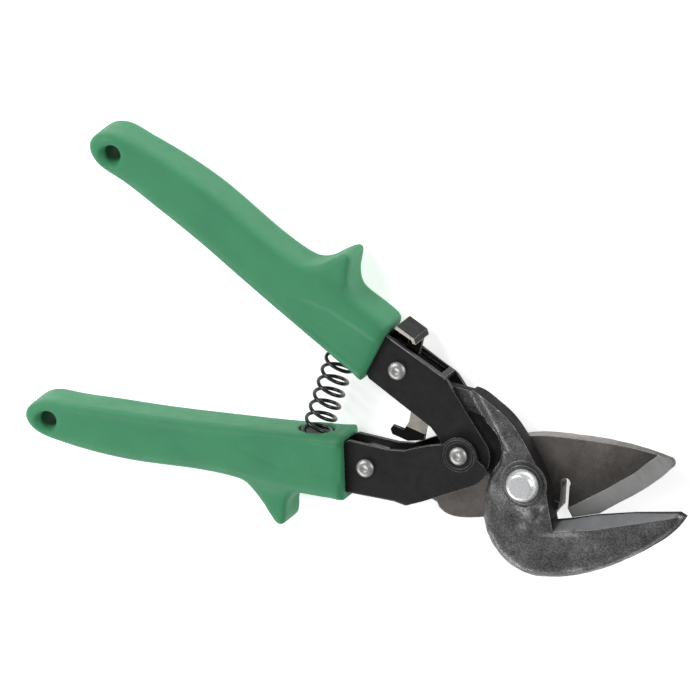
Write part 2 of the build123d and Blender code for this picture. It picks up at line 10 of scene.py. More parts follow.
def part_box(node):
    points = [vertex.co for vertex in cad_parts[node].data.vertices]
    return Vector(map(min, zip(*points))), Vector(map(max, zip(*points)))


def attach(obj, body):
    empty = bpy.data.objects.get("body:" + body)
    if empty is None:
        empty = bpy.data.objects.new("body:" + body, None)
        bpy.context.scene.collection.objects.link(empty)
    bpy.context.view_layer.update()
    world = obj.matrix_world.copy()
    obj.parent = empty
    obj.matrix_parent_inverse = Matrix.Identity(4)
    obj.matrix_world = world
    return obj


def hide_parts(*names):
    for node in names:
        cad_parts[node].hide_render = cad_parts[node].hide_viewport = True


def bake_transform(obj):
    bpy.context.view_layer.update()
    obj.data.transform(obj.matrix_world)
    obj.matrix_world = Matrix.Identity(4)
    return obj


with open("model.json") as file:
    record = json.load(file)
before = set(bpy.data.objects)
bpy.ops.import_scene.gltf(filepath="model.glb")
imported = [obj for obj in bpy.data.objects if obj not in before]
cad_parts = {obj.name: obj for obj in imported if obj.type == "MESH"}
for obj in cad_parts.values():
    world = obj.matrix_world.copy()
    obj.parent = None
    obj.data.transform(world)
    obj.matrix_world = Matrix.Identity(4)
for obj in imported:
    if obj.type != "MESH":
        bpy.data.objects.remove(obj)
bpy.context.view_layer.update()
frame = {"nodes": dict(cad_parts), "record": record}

MM = 0.001
SHEAR_Z = 9.8
RECORD = frame["record"]
BODY_OF = {n: b for b, members in RECORD["behaviour"]["bodies"].items() for n in members}


def centre(node):
    """Middle of a CAD node's box, in millimetres."""
    lo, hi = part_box(node)
    return (lo + hi) / 2 / MM


# ------------------------------------------------------------ materials

class Look:
    """Principled material whose textures are laid out in the object's own metres."""

    def __init__(self, name, metallic=0.0, **sockets):
        self.material = bpy.data.materials.new(name)
        self.material.use_nodes = True
        self.tree = self.material.node_tree
        self.shader = self.tree.nodes["Principled BSDF"]
        self.shader.inputs["Metallic"].default_value = metallic
        for socket, value in sockets.items():
            self.shader.inputs[socket.replace("_", " ")].default_value = value
        self.coords = self.tree.nodes.new("ShaderNodeTexCoord").outputs["Object"]

    def noise(self, size, detail=4.0, roughness=0.55, stretch=None, turn=0.0):
        """Noise whose features are about size millimetres across."""
        where = self.coords
        if stretch:
            mapping = self.tree.nodes.new("ShaderNodeMapping")
            mapping.vector_type = "TEXTURE"
            mapping.inputs["Rotation"].default_value = (0, 0, turn)
            mapping.inputs["Scale"].default_value = stretch
            self.tree.links.new(where, mapping.inputs["Vector"])
            where = mapping.outputs["Vector"]
        node = self.tree.nodes.new("ShaderNodeTexNoise")
        node.inputs["Scale"].default_value = 1 / (size * MM)
        node.inputs["Detail"].default_value = detail
        node.inputs["Roughness"].default_value = roughness
        self.tree.links.new(where, node.inputs["Vector"])
        return node.outputs["Fac"]

    def ramp(self, fac, *stops):
        """Colour ramp; a stop is (position, grey or colour)."""
        node = self.tree.nodes.new("ShaderNodeValToRGB")
        elements = node.color_ramp.elements
        while len(elements) < len(stops):
            elements.new(0.5)
        for element, (position, value) in zip(elements, stops):
            element.position = position
            rgb = (value,) * 3 if isinstance(value, (int, float)) else value
            element.color = (*rgb, 1.0)
        self.tree.links.new(fac, node.inputs["Fac"])
        return node.outputs["Color"]

    def gradient(self, point, direction, length, tint):
        """Tint growing from none at a point to full after length millimetres along a direction."""
        mapping = self.tree.nodes.new("ShaderNodeMapping")
        mapping.vector_type = "TEXTURE"
        mapping.inputs["Location"].default_value = Vector((*point, 0)) * MM
        mapping.inputs["Rotation"].default_value = (0, 0, direction)
        mapping.inputs["Scale"].default_value = (length * MM, length * MM, length * MM)
        self.tree.links.new(self.coords, mapping.inputs["Vector"])
        node = self.tree.nodes.new("ShaderNodeTexGradient")
        self.tree.links.new(mapping.outputs["Vector"], node.inputs["Vector"])
        return self.ramp(node.outputs["Fac"], (0.0, 1.0), (1.0, tint))

    def mix(self, fac, a, b, blend="MIX"):
        node = self.tree.nodes.new("ShaderNodeMix")
        node.data_type = "RGBA"
        node.blend_type = blend
        ends = (node.inputs[6], a), (node.inputs[7], b), (node.inputs[0], fac)
        for socket, value in ends:
            if isinstance(value, bpy.types.NodeSocket):
                self.tree.links.new(value, socket)
            else:
                socket.default_value = value if isinstance(value, float) else (*value, 1.0)
        return node.outputs[2]

    def edges(self, radius, low, high):
        """Mask that is 1 along edges, where painted highlights and bare scuffed edges are laid."""
        bevel = self.tree.nodes.new("ShaderNodeBevel")
        bevel.samples = 4
        bevel.inputs["Radius"].default_value = radius * MM
        geometry = self.tree.nodes.new("ShaderNodeNewGeometry")
        dot = self.tree.nodes.new("ShaderNodeVectorMath")
        dot.operation = "DOT_PRODUCT"
        self.tree.links.new(bevel.outputs["Normal"], dot.inputs[0])
        self.tree.links.new(geometry.outputs["Normal"], dot.inputs[1])
        return self.ramp(dot.outputs["Value"], (low, 1.0), (high, 0.0))

    def bump(self, height, distance, strength=1.0, below=None):
        node = self.tree.nodes.new("ShaderNodeBump")
        node.inputs["Distance"].default_value = distance * MM
        node.inputs["Strength"].default_value = strength
        self.tree.links.new(height, node.inputs["Height"])
        if below:
            self.tree.links.new(below, node.inputs["Normal"])
        return node.outputs["Normal"]

    def use(self, colour, roughness, normal):
        for socket, output in (("Base Color", colour), ("Roughness", roughness), ("Normal", normal)):
            self.tree.links.new(output, self.shader.inputs[socket])
        return self.material


# Painted highlight: forging edges lighten to this multiple of the light tone.
EDGE_HIGHLIGHT_GAIN = 2.0


def forged(
    name,
    dark,
    mid,
    light,
    grain=0.45,
    metallic=0.8,
    shine=(0.34, 0.50),
    specular=0.5,
    painted_shadow=None,
    speck=(0.50, 1.62),
    pitting=0.9,
):
    """Hammer-scaled, shot-blasted forging with a painted highlight along its edges; an optional argument
    holding what gradient takes darkens the colour as a painted shadow.
    """
    look = Look(name, metallic=metallic, Specular_IOR_Level=specular)
    patches = look.ramp(look.noise(9.0, 4, 0.6), (0.32, dark), (0.52, mid), (0.75, light))
    speckle = look.ramp(look.noise(grain, 3, 0.7), (0.36, speck[0]), (0.66, speck[1]))
    colour = look.mix(1.0, patches, speckle, "MULTIPLY")
    # Painted shadow, multiplied into the colour.
    if painted_shadow:
        colour = look.mix(1.0, colour, look.gradient(*painted_shadow), "MULTIPLY")
    # Painted highlight along the edges.
    edge_highlight = look.edges(0.5, 0.84, 0.97)
    colour = look.mix(edge_highlight, colour, tuple(EDGE_HIGHLIGHT_GAIN * c for c in light))
    rough = look.ramp(look.noise(1.6, 5, 0.7), (0.3, shine[0]), (0.7, shine[1]))
    pits = look.bump(look.noise(grain, 4, 0.75), 0.08, pitting)
    normal = look.bump(look.noise(3.2, 3, 0.6), 0.20, 0.35, pits)
    return look.use(colour, rough, normal)


def ground(name, dark, light, turn, metallic=0.9):
    """Surface-ground steel with fine parallel grinding lines."""
    look = Look(name, metallic=metallic)
    lines = look.noise(0.9, 4, 0.7, (0.16, 6.0, 1.0), turn)
    cloud = look.noise(6.0, 3, 0.5)
    streaks = look.ramp(lines, (0.3, dark), (0.7, light))
    colour = look.mix(0.45, streaks, look.ramp(cloud, (0.3, dark), (0.7, light)))
    rough = look.ramp(lines, (0.3, 0.38), (0.7, 0.54))
    return look.use(colour, rough, look.bump(lines, 0.02, 0.5))


def plated(name, dark, light, rough=(0.18, 0.32), metallic=1.0, grain=1.2):
    """Bright plated or polished steel, slightly clouded."""
    look = Look(name, metallic=metallic)
    cloud = look.noise(grain, 5, 0.65)
    colour = look.ramp(cloud, (0.3, dark), (0.7, light))
    roughness = look.ramp(look.noise(grain * 0.5, 4, 0.6), (0.3, rough[0]), (0.7, rough[1]))
    return look.use(colour, roughness, look.bump(look.noise(0.5, 3, 0.6), 0.02, 0.35))


def coated(name, base, edge_wear_and_highlight_colour, rough=(0.30, 0.44), edge_band=(0.82, 0.97), grain=0.03, specular=0.5):
    """Thin satin black coat over sheet steel, its edges lightened, partly as bare scuffed steel and partly
    as a painted highlight.
    """
    look = Look(name, metallic=0.0, Specular_IOR_Level=specular)
    low = tuple(0.8 * c for c in base)
    high = tuple(1.25 * c for c in base)
    cloud = look.ramp(look.noise(7.0, 4, 0.6), (0.3, low), (0.7, high))
    dust = look.ramp(look.noise(0.5, 2, 0.7), (0.60, 0.0), (0.78, 0.35))
    colour = look.mix(dust, cloud, tuple(1.8 * c for c in base))
    patchy = look.ramp(look.noise(1.8, 4, 0.7), (0.30, 0.25), (0.62, 1.0))
    # Lighter edges: partly bare scuffed steel, partly painted highlight.
    edge_wear_and_highlight = look.mix(1.0, look.edges(0.35, *edge_band), patchy, "MULTIPLY")
    colour = look.mix(edge_wear_and_highlight, colour, edge_wear_and_highlight_colour)
    roughness = look.ramp(look.noise(2.4, 4, 0.6), (0.3, rough[0]), (0.7, rough[1]))
    peel = look.bump(look.noise(0.45, 2, 0.5), grain, 0.5)
    return look.use(colour, roughness, look.bump(look.noise(4.0, 2, 0.5), 0.06, 0.25, peel))


def moulded(name, base, shade):
    """Soft moulded grip: even colour, spark-eroded satin texture, faint handling marks."""
    look = Look(name, metallic=0.0, Specular_IOR_Level=0.30)
    cloud = look.ramp(look.noise(16.0, 4, 0.55), (0.32, shade), (0.62, base))
    speck = look.ramp(look.noise(0.35, 2, 0.6), (0.30, 0.93), (0.70, 1.06))
    colour = look.mix(1.0, cloud, speck, "MULTIPLY")
    smudge = look.ramp(look.noise(5.0, 5, 0.7), (0.60, 0.0), (0.80, 0.30))
    colour = look.mix(smudge, colour, tuple(0.82 * c for c in base))
    rough = look.ramp(look.noise(4.5, 4, 0.6), (0.3, 0.50), (0.7, 0.62))
    fine = look.bump(look.noise(0.28, 2, 0.6), 0.04, 0.30)
    return look.use(colour, rough, look.bump(look.noise(2.6, 2, 0.5), 0.05, 0.20, fine))


FORGED = forged("forged_dark", (0.085, 0.083, 0.082), (0.142, 0.139, 0.138), (0.205, 0.202, 0.200), 0.6)
# Painted shade: a near-black, non-metallic copy of the forging, for the front blade's side walls and for
# the tang round the handle noses.
FORGED_PAINTED_SHADE = forged(
    "forged_painted_shade",
    (0.008, 0.008, 0.008),
    (0.015, 0.014, 0.014),
    (0.030, 0.029, 0.028),
    metallic=0.0,
    shine=(0.60, 0.75),
    specular=0.15,
)
# Painted shadow: the rear blade's face darkens to 0.36 over 14 mm from (12, 18) mm, heading -41 degrees.
PAINTED_SHADOW = ((12.0, 18.0), radians(-41), 14.0, 0.36)
FORGED_BROWN = forged(
    "forged_brown",
    (0.175, 0.158, 0.146),
    (0.225, 0.206, 0.193),
    (0.265, 0.245, 0.231),
    metallic=0.75,
    painted_shadow=PAINTED_SHADOW,
    speck=(0.86, 1.14),
    pitting=0.35,
)
WASHER = forged(
    "forged_washer",
    (0.070, 0.070, 0.070),
    (0.110, 0.110, 0.110),
    (0.160, 0.160, 0.160),
    grain=0.4,
    metallic=0.9,
)
GROUND_FRONT = ground("ground_bevel", (0.20, 0.21, 0.22), (0.31, 0.32, 0.33), radians(26))
GROUND_REAR = ground("ground_land", (0.32, 0.32, 0.32), (0.44, 0.435, 0.43), radians(54))
SCUFFED = ground("scuffed_steel", (0.10, 0.10, 0.10), (0.75, 0.74, 0.72), radians(-12))
BLACK = coated("black_coat", (0.008, 0.008, 0.008), (0.42, 0.41, 0.40), (0.38, 0.50), specular=0.36)
# Painted highlight: a lighter copy of the black coat for the frames' upper bends.
BEND_PAINTED_HIGHLIGHT = coated("black_painted_highlight", (0.060, 0.058, 0.056), (0.60, 0.58, 0.56), (0.28, 0.40))
LATCH_TOP = coated(
    "latch_black",
    (0.006, 0.006, 0.006),
    (0.60, 0.56, 0.50),
    rough=(0.45, 0.60),
    edge_band=(0.78, 0.98),
    grain=0.14,
    specular=0.18,
)
LATCH_EDGE = plated("latch_edge", (0.40, 0.38, 0.34), (0.80, 0.76, 0.70), (0.40, 0.55), 0.4, 0.6)
LATCH_PLATE = plated("latch_silver", (0.50, 0.47, 0.41), (0.74, 0.70, 0.62), (0.34, 0.50), 0.45, 2.5)
ZINC = plated("zinc_bright", (0.86, 0.88, 0.90), (0.97, 0.98, 0.99), (0.22, 0.34), 0.6)
RIVET = plated("rivet_bright", (0.30, 0.30, 0.29), (0.50, 0.50, 0.49), (0.36, 0.52), 0.7, 0.8)
DULL = plated("turned_dull", (0.20, 0.20, 0.20), (0.32, 0.31, 0.30), (0.35, 0.5))
LEAF = plated("leaf_spring", (0.30, 0.30, 0.30), (0.46, 0.45, 0.44), (0.28, 0.4))
WIRE = coated("spring_black", (0.012, 0.012, 0.012), (0.06, 0.06, 0.06), (0.20, 0.32))
PEG = coated("peg_black", (0.022, 0.023, 0.024), (0.06, 0.06, 0.06), (0.45, 0.6))
GREEN = moulded("green_grip", (0.054, 0.262, 0.126), (0.049, 0.238, 0.114))


# ------------------------------------------------------------ mesh tools

def adopt(name, mesh, materials, nodes, smooth=32, body=None):
    """Link a mesh as a piece that stands for CAD nodes and rides on their body."""
    for material in materials:
        mesh.materials.append(material)
    mesh.polygons.foreach_set("use_smooth", np.ones(len(mesh.polygons), dtype=bool))
    mesh.set_sharp_from_angle(angle=radians(smooth))
    obj = bpy.data.objects.new(name, mesh)
    bpy.context.scene.collection.objects.link(obj)
    if body is None:
        body = BODY_OF[nodes[0]]
    if body:
        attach(obj, body)
    if nodes:
        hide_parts(*nodes)
    return obj


def finish_bmesh(bm, name):
    mesh = bpy.data.meshes.new(name)
    bmesh.ops.recalc_face_normals(bm, faces=bm.faces[:])
    bm.to_mesh(mesh)
    bm.free()
    return mesh


def welded(node):
    """A CAD node's surface as one welded mesh, its flat regions joined."""
    bm = bmesh.new()
    bm.from_mesh(frame["nodes"][node].data)
    bmesh.ops.remove_doubles(bm, verts=bm.verts[:], dist=3e-6)
    bmesh.ops.dissolve_limit(bm, angle_limit=radians(0.8), verts=bm.verts[:], edges=bm.edges[:])
    return bm


def soften(bm, width, segments=2, angle=28, only=None):
    """Round the edges that turn more than an angle."""
    picked = []
    for edge in bm.edges:
        if len(edge.link_faces) == 2 and edge.calc_face_angle() > radians(angle):
            if only is None or only(edge):
                picked.append(edge)
    bmesh.ops.bevel(
        bm,
        geom=picked,
        offset=width * MM,
        offset_type="OFFSET",
        segments=segments,
        profile=0.5,
        affect="EDGES",
        clamp_overlap=True,
    )


def grid_cut(bm, step, axes=(0, 1)):
    """Cut the surface on evenly spaced planes, so that it can be shaped."""
    for axis in axes:
        values = [v.co[axis] for v in bm.verts]
        lo, hi = min(values), max(values)
        count = int((hi - lo) / (step * MM))
        normal = Vector((0, 0, 0))
        normal[axis] = 1
        for k in range(1, count + 1):
            point = Vector((0, 0, 0))
            point[axis] = lo + (hi - lo) * k / (count + 1)
            geom = bm.verts[:] + bm.edges[:] + bm.faces[:]
            bmesh.ops.bisect_plane(bm, geom=geom, dist=2e-6, plane_co=point, plane_no=normal)


def lathe(name, node, profile, x, y, materials, segments=96):
    """Turned piece: a profile of (radius, height) from the lower axis point to the upper one."""
    bm = bmesh.new()
    rings = []
    for r, z in profile:
        if r < 1e-6:
            rings.append([bm.verts.new((x * MM, y * MM, z * MM))])
            continue
        ring = []
        for k in range(segments):
            t = 2 * pi * k / segments
            ring.append(bm.verts.new(((x + r * cos(t)) * MM, (y + r * sin(t)) * MM, z * MM)))
        rings.append(ring)
    closed = profile[0][0] > 1e-6
    pairs = list(zip(rings, rings[1:])) + ([(rings[-1], rings[0])] if closed else [])
    for a, b in pairs:
        for k in range(segments):
            n = (k + 1) % segments
            loop = [a[k % len(a)], a[n % len(a)], b[n % len(b)], b[k % len(b)]]
            seen = []
            for v in loop:
                if v not in seen:
                    seen.append(v)
            if len(seen) > 2:
                bm.faces.new(seen)
    return adopt(name, finish_bmesh(bm, name), materials, [node])


# ------------------------------------------------------------ blades

def sheet_point(v):
    return v.x / MM, v.y / MM, v.z / MM


def line_side(x, y, a, b):
    """Positive on the left of the line from a to b."""
    return (b[0] - a[0]) * (y - a[1]) - (b[1] - a[1]) * (x - a[0])


def bump_at(x, y, cx, cy, r):
    """Smooth hill, 1 at its centre and 0 at radius r."""
    d = min(1.0, sqrt((x - cx) ** 2 + (y - cy) ** 2) / r)
    return (1 - d * d) ** 2


def forge(bm, amount, relief=None):
    """Uneven forged skin everywhere but on the shear faces."""
    bm.normal_update()
    moves = []
    for v in bm.verts:
        x, y, z = sheet_point(v.co)
        off_shear = min(1.0, max(0.0, (abs(z - SHEAR_Z) - 0.4) / 1.5))
        near_axis = max(0.0, 1 - sqrt(x * x + y * y) / 9.0)
        n = noise.noise(v.co * 220) + 0.5 * noise.noise(v.co * 520)
        move = v.normal * (n * amount * MM * off_shear * (1 - min(1.0, 3 * near_axis)))
        if relief:
            move += Vector((0, 0, relief(x, y, z) * MM))
        moves.append(move)
    for v, move in zip(bm.verts, moves):
        v.co += move


TANG_TOP = 3.6
BODY_TOP = 6.5
NOSE_CENTRE = (-22.46, 3.18)
RAMP_START_R = 11.6
RAMP_END_R = 13.0
RAMP_SINK = 0.6
MOST_SINK = 0.97
ARM_START_Y = 8.0
END_RAMP = (-0.3, 5.0)
SKIN_RISE = (1.4, 2.6)
BOSS_R = 8.25
BOSS_FOOT = 1.4
RIM_R = 1.3
TANG_SHADE_R = 12.3
BELLY = [
    (55.2, 10.8),
    (53.6, 5.8),
    (46.0, -5.6),
    (38.6, -13.8),
    (30.0, -21.3),
    (17.6, -28.6),
    (7.9, -30.8),
    (-1.2, -28.2),
    (-8.1, -22.2),
    (-12.0, -12.7),
    (-12.9, -4.5),
]
HOLLOWS = [
    # depth, x, y, radius
    (1.2, 2.4, -12.4, 6.0),
    (0.9, 8.4, -8.0, 4.4),
    (0.6, -9.4, -10.5, 7.0),
    (0.9, 20.0, -16.5, 14.0),
]
RIM_WIDTH = 3.6
RIM_FALL = 1.3
RIM_LOW = 2.0
RIM_FULL = 3.6
BEVEL_HEEL = (13.2, -9.4)
BEVEL_RUN = Vector((39.4, 20.6, 0)).normalized()
BEVEL_START_X = 12.5
BEVEL_CLEAR = 7.0
BEVEL_BACK = (-4.6, -3.0)
BEVEL_BACK_X = 9.0
BEVEL_DROP = 5.3
BEVEL_WIDTH = 4.2
BODY_END = (-20.6, 13.9)
END_OUT = Vector((0.683, 0.730, 0))


def distance_to(path, x, y):
    """Distance from a path of points, in millimetres."""
    gaps = []
    for a, b in zip(path, path[1:]):
        length = sqrt((b[0] - a[0]) ** 2 + (b[1] - a[1]) ** 2)
        t = ((x - a[0]) * (b[0] - a[0]) + (y - a[1]) * (b[1] - a[1])) / length ** 2
        t = min(1.0, max(0.0, t))
        gaps.append(sqrt((x - a[0] - t * (b[0] - a[0])) ** 2 + (y - a[1] - t * (b[1] - a[1])) ** 2))
    return min(gaps)


def eased(value, start, end):
    """0 before start, 1 after end, smooth between."""
    t = min(1.0, max(0.0, (value - start) / (end - start)))
    return t * t * (3 - 2 * t)


def past_bevel(x, y):
    """Distance across the line of the front blade's ground bevel, negative behind it."""
    return (x - BEVEL_HEEL[0]) * -BEVEL_RUN.y + (y - BEVEL_HEEL[1]) * BEVEL_RUN.x


def front_relief(x, y, z):
    """Ramps round the handle noses and down to the tang, hollows round the boss, a rounded belly rim."""
    rise = z - SHEAR_Z - TANG_TOP
    from_bolt = sqrt(x * x + y * y)
    if z - SHEAR_Z < RIM_LOW or from_bolt < BOSS_R:
        return 0.0
    from_nose = sqrt((x - NOSE_CENTRE[0]) ** 2 + (y - NOSE_CENTRE[1]) ** 2)
    sink = RAMP_SINK * (1 - eased(from_nose, RAMP_START_R, RAMP_END_R))
    from_end = (x - BODY_END[0]) * END_OUT.x + (y - BODY_END[1]) * END_OUT.y
    if y > ARM_START_Y:
        sink = max(sink, MOST_SINK * (1 - eased(from_end, *END_RAMP)))
    near_top = eased(rise, *SKIN_RISE)
    hollows = sum(depth * bump_at(x, y, cx, cy, r) for depth, cx, cy, r in HOLLOWS)
    clear = eased(from_bolt, BOSS_R, BOSS_R + BOSS_FOOT)
    off_bevel = 1 - eased(past_bevel(x, y), *BEVEL_BACK) if x > BEVEL_BACK_X else 1.0
    carved = near_top * clear * off_bevel * hollows
    rim = max(0.0, 1 - distance_to(BELLY, x, y) / RIM_WIDTH) ** 2
    rim *= eased(z - SHEAR_Z, RIM_LOW, RIM_FULL)
    lowered = min(sink * rise + carved, MOST_SINK * rise) if rise > 0.05 else 0.0
    return -lowered - RIM_FALL * rim


def front_blade():
    """Lower jaw: forged skin, ground bevel and shear face, painted shade on its sides and painted shadow on
    the tang round the handle noses.
    """
    bm = welded("front_blade")

    def is_top_rim(edge):
        mid = (edge.verts[0].co + edge.verts[1].co) / 2 / MM
        bevel = past_bevel(mid.x, mid.y)
        clear_of_bevel = mid.x < BEVEL_START_X or bevel < -BEVEL_CLEAR
        on_top = abs(mid.z - SHEAR_Z - BODY_TOP) < 0.05
        return on_top and clear_of_bevel and mid.xy.length > BOSS_R + 0.5

    soften(bm, RIM_R, 5, 60, is_top_rim)
    soften(bm, 0.2, 2, 32)
    grid_cut(bm, 0.8)
    forge(bm, 0.10, front_relief)
    bm.normal_update()
    across = Vector((-BEVEL_RUN.y, BEVEL_RUN.x, 0))
    wedge = (across * BEVEL_DROP + Vector((0, 0, BEVEL_WIDTH))).normalized()
    for face in bm.faces:
        c = face.calc_center_median() / MM
        if face.normal.dot(wedge) > 0.97 and c.z > SHEAR_Z + 0.5 and c.x > BEVEL_START_X:
            face.material_index = 1
        if face.normal.z < -0.9 and abs(c.z - SHEAR_Z) < 0.3:
            face.material_index = 1
        # Painted shade on every side wall, and painted shadow on the tang within TANG_SHADE_R of the handle
        # nose.
        from_nose = sqrt((c.x - NOSE_CENTRE[0]) ** 2 + (c.y - NOSE_CENTRE[1]) ** 2)
        on_tang = c.z - SHEAR_Z < TANG_TOP + 0.4
        if abs(face.normal.z) < 0.35 or (on_tang and from_nose < TANG_SHADE_R):
            face.material_index = 2
    mesh = finish_bmesh(bm, "front_blade_forging")
    adopt("front_blade_forging", mesh, [FORGED, GROUND_FRONT, FORGED_PAINTED_SHADE], ["front_blade"], 38)


LAND = [(15.8, -4.0), (18.1, -1.3), (25.8, 7.5), (33.3, 17.0), (36.7, 22.8), (41.0, 29.0)]
LAND_START_X = 12.0
HOLLOW_DEPTH = 0.35
HOLLOW_START_X = 8.0
HOLLOW_FALL = 0.15
SCUFF_END_X = -42.0


def rear_relief(x, y, z):
    """Concave hollow-ground face, falling away behind the land."""
    on_hollow = abs(z - SHEAR_Z + HOLLOW_DEPTH) < 0.03
    if not on_hollow or x < HOLLOW_START_X or line_side(x, y, LAND[0], LAND[-1]) < 0:
        return 0.0
    return -HOLLOW_FALL * eased(distance_to(LAND, x, y), 0.05, 12.0)


def rear_blade():
    """Upper jaw: smooth brown face, bright ground land, scuffed top along its tang."""
    bm = welded("rear_blade")
    soften(bm, 0.18, 2, 30)
    grid_cut(bm, 0.9)
    forge(bm, 0.08, rear_relief)
    bm.normal_update()
    for face in bm.faces:
        c = face.calc_center_median() / MM
        on_shear = abs(c.z - SHEAR_Z + 0.05) < 0.04
        if face.normal.z > 0.9 and on_shear and c.x > LAND_START_X:
            face.material_index = 1
        if c.x < SCUFF_END_X and face.normal.y > 0.4:
            face.material_index = 2
    mesh = finish_bmesh(bm, "rear_blade_forging")
    adopt("rear_blade_forging", mesh, [FORGED_BROWN, GROUND_REAR, SCUFFED], ["rear_blade"], 38)


# ------------------------------------------------------------ frames, latch

def add_weighted_normals(obj):
    mod = obj.modifiers.new("weighted_normals", "WEIGHTED_NORMAL")
    mod.keep_sharp = True
    mod.weight = 60


WEB_START = {"upper_frame": (-37.5, 23.2), "lower_frame": (-36.2, 24.4)}
WEB_END = {"upper_frame": (-59.4, 28.2), "lower_frame": (-59.4, 29.9)}
BEND_STOP = {"upper_frame": -30.0, "lower_frame": -41.0}
SHEET_OUT = 5.5
BEND_R = 1.7
BEND_STEPS = 6


def round_bends(bm, node, side):
    """Round the two bends where the web turns down into the ears."""
    (ax, ay), (bx, by) = WEB_START[node], WEB_END[node]
    out = Vector((ay - by, bx - ax, 0)).normalized() * -1
    if out.y < 0:
        out = -out
    out.y *= side
    origin = Vector((ax, side * ay, 0)) * MM
    for k in range(BEND_STEPS + 1):
        inset = BEND_R * (1 - cos(pi / 2 * k / BEND_STEPS))
        geom = bm.verts[:] + bm.edges[:] + bm.faces[:]
        plane = origin - out * inset * MM
        bmesh.ops.bisect_plane(bm, geom=geom, dist=1e-6, plane_co=plane, plane_no=out)
        for face_side in (1, -1):
            height = SHEAR_Z + face_side * (SHEET_OUT - inset)
            geom = bm.verts[:] + bm.edges[:] + bm.faces[:]
            plane = Vector((0, 0, height)) * MM
            bmesh.ops.bisect_plane(bm, geom=geom, dist=1e-6, plane_co=plane, plane_no=(0, 0, 1))
    for v in bm.verts:
        across = (v.co - origin).dot(out) / MM + BEND_R
        lift = abs(v.co.z / MM - SHEAR_Z) - SHEET_OUT + BEND_R
        reach = sqrt(across * across + lift * lift)
        along_web = WEB_END[node][0] < v.co.x / MM < BEND_STOP[node]
        if across > 0 and lift > 0 and reach > BEND_R and along_web:
            shrink = BEND_R / reach - 1
            v.co += out * (across * shrink * MM)
            v.co.z += (1 if v.co.z > SHEAR_Z * MM else -1) * lift * shrink * MM


def handle_frame(node, side):
    """Folded channel: rounded bends along its web, those on the upper side given a painted highlight, and
    softened sheet edges.
    """
    bm = welded(node)
    soften(bm, 0.22, 2, 40)
    round_bends(bm, node, side)
    bm.normal_update()
    for face in bm.faces:
        c = face.calc_center_median() / MM
        # Painted highlight: the bends on the upper side take the lighter coat.
        on_bend = 0.25 < face.normal.z < 0.85 and abs(face.normal.y) > 0.4
        if on_bend and c.z > SHEAR_Z and WEB_END[node][0] < c.x < BEND_STOP[node]:
            face.material_index = 1
    mesh = finish_bmesh(bm, node + "_sheet")
    obj = adopt(node + "_sheet", mesh, [BLACK, BEND_PAINTED_HIGHLIGHT], [node], 34)
    add_weighted_normals(obj)


STEM_LOW = 20.0
HOOK_HIGH = -1.5
TAB_LOW = 29.0


def latch():
    """Silver plate whose tab, stem and hook foot are black, the tab's front edge bare steel."""
    bm = welded("latch")
    for level in (STEM_LOW, HOOK_HIGH):
        geom = bm.verts[:] + bm.edges[:] + bm.faces[:]
        bmesh.ops.bisect_plane(bm, geom=geom, dist=1e-6, plane_co=(0, level * MM, 0), plane_no=(0, 1, 0))
    soften(bm, 0.25, 2, 40)
    bm.normal_update()
    for face in bm.faces:
        c = face.calc_center_median() / MM
        if c.y > STEM_LOW or c.y < HOOK_HIGH:
            face.material_index = 1
        if c.y > TAB_LOW and face.normal.z > 0.6:
            face.material_index = 2
    materials = [LATCH_PLATE, LATCH_TOP, LATCH_EDGE]
    obj = adopt("latch_body", finish_bmesh(bm, "latch_body"), materials, ["latch"], 40)
    add_weighted_normals(obj)


def leaf_spring():
    bm = welded("latch_leaf_spring")
    adopt("latch_leaf", finish_bmesh(bm, "latch_leaf"), [LEAF], ["latch_leaf_spring"], 40)


# ------------------------------------------------------------ turned pieces

RIVET_HEAD_R = 3.1
RIVET_HEAD_H = 1.4
HANDLE_SHANK_R = 2.4
TANG_SHANK_R = 2.0


def rivet(node, name):
    """Rivet with a low peened head and a dimple at both ends."""
    lo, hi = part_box(node)
    x, y, _ = centre(node)
    top, low = hi.z / MM, lo.z / MM
    head, height = RIVET_HEAD_R, RIVET_HEAD_H
    up = [
        (head, top - height),
        (head, top - height + 0.45),
        (head - 0.10, top - height + 0.62),
        (head - 0.45, top - 0.42),
        (head - 1.0, top - 0.10),
        (head - 1.5, top),
        (1.25, top - 0.02),
        (0.85, top - 0.20),
        (0.40, top - 0.34),
        (0.0, top - 0.36),
    ]
    shank = HANDLE_SHANK_R if node == "handle_rivet" else TANG_SHANK_R
    down = [(r, low + (top - z)) for r, z in up[::-1]]
    profile = down + [(shank, low + height), (shank, top - height)] + up
    lathe(name, node, profile, x, y, [RIVET])


BOLT_HEAD_H = 3.6
BOLT_SHANK_R = 4.0


def bolt():
    """Main bolt with a domed, flat-topped head."""
    lo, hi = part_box("pivot_bolt")
    top = hi.z / MM
    base = top - BOLT_HEAD_H
    profile = [
        (0.0, lo.z / MM),
        (3.6, lo.z / MM),
        (BOLT_SHANK_R, lo.z / MM + 0.4),
        (BOLT_SHANK_R, base),
        (5.6, base),
        (5.6, base + 0.7),
        (5.52, base + 1.25),
        (5.25, base + 2.0),
        (4.85, base + 2.7),
        (4.35, base + 3.25),
        (4.05, base + 3.47),
        (3.85, base + 3.56),
        (3.6, top - 0.01),
        (2.4, top),
        (0.0, top),
    ]
    lathe("pivot_bolt_head", "pivot_bolt", profile, 0, 0, [ZINC], 128)


